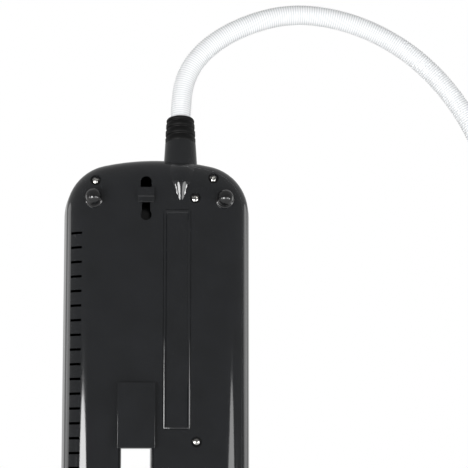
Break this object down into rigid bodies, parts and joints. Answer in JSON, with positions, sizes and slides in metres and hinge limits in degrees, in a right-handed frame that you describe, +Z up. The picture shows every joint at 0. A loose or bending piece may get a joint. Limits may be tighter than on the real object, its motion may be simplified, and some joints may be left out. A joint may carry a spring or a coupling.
{
  "type": "canister filter",
  "caption": "Slim upright external canister filter with intake comb, wall hanger, hook pocket, hinged media door, sealed pump and a ribbed return hose coiled beside it.",
  "frame": {"origin": "middle of the foot pad's underside, on the surface that the filter stands on", "axes": "+Z up; the wall side with the hanger and bumpers faces -Y and the media door faces +Y; +X is the spout's side as seen from -Y"},
  "size_m": [0.3688, 0.2208, 0.6214],
  "materials": {
    "housing_plastic": "polished dark grey-black moulding",
    "cover_plastic": "smooth dark moulding",
    "base_plastic": "fine matt moulding",
    "pad_rubber": "soft matt",
    "screw_steel": "bright stainless",
    "bumper_rubber": "smooth soft rubber",
    "cuff_rubber": "smooth soft rubber",
    "barb_plastic": "grey moulding",
    "duct_plastic": "grey tube",
    "hose_vinyl": "clear ribbed vinyl",
    "nozzle_plastic": "dark moulding",
    "latch_plastic": "fine matt moulding",
    "basket_plastic": "fine matt moulding",
    "ring_ceramic": "unglazed",
    "blue_foam": "open-cell foam",
    "black_foam": "open-cell foam",
    "white_floss": "soft wadding",
    "motor_plastic": "fine matt moulding",
    "stator_iron": "varnished laminations and winding",
    "shaft_ceramic": "ground",
    "bush_ceramic": "ground",
    "magnet_ferrite": "ferrite",
    "impeller_plastic": "pale moulding",
    "gland_rubber": "soft matt"
  },
  "bodies": {
    "housing": {"duct_cover": "cover_plastic", "rear_shell": "housing_plastic", "hook_pocket": "housing_plastic", "tunnel_liner": "cover_plastic", "front_shell": "housing_plastic", "base_plate": "base_plastic", "base_pad": "pad_rubber", "shell_screws": "screw_steel", "base_screws": "screw_steel", "bumper_left": "bumper_rubber", "bumper_right": "bumper_rubber", "hose_barb": "barb_plastic", "hose_cuff": "cuff_rubber", "duct_seal": "gland_rubber", "riser_duct": "duct_plastic", "hose_run": "hose_vinyl", "hose_coil": "hose_vinyl", "return_nozzle": "nozzle_plastic", "hinge_pin": "screw_steel", "media_basket": "basket_plastic", "ceramic_rings": "ring_ceramic", "coarse_sponge": "blue_foam", "carbon_pad": "black_foam", "fine_floss": "white_floss", "prefilter_foam": "black_foam", "motor_case": "motor_plastic", "stator_block": "stator_iron", "pump_cover": "motor_plastic", "rotor_shaft": "shaft_ceramic", "lower_bush": "bush_ceramic", "upper_bush": "bush_ceramic", "cable_gland": "gland_rubber"},
    "rotor": {"impeller": "impeller_plastic", "rotor_magnet": "magnet_ferrite"},
    "door": {"media_door": "housing_plastic", "door_gasket": "gland_rubber"},
    "latch": {"door_latch": "latch_plastic"}
  },
  "joints": [
    {"name": "impeller_spin", "type": "hinge", "parent": "housing", "child": "rotor", "pos_m": [0.0152, -0.002, 0.07], "axis": [0, 0, 1], "continuous": true},
    {"name": "door_hinge", "type": "hinge", "parent": "housing", "child": "door", "pos_m": [-0.0528, 0.051, 0.36], "axis": [0, 0, 1], "range_deg": [0, 110]},
    {"name": "latch_slide", "type": "slide", "parent": "door", "child": "latch", "axis": [1, 0, 0], "range_m": [0, 0.004]}
  ]
}
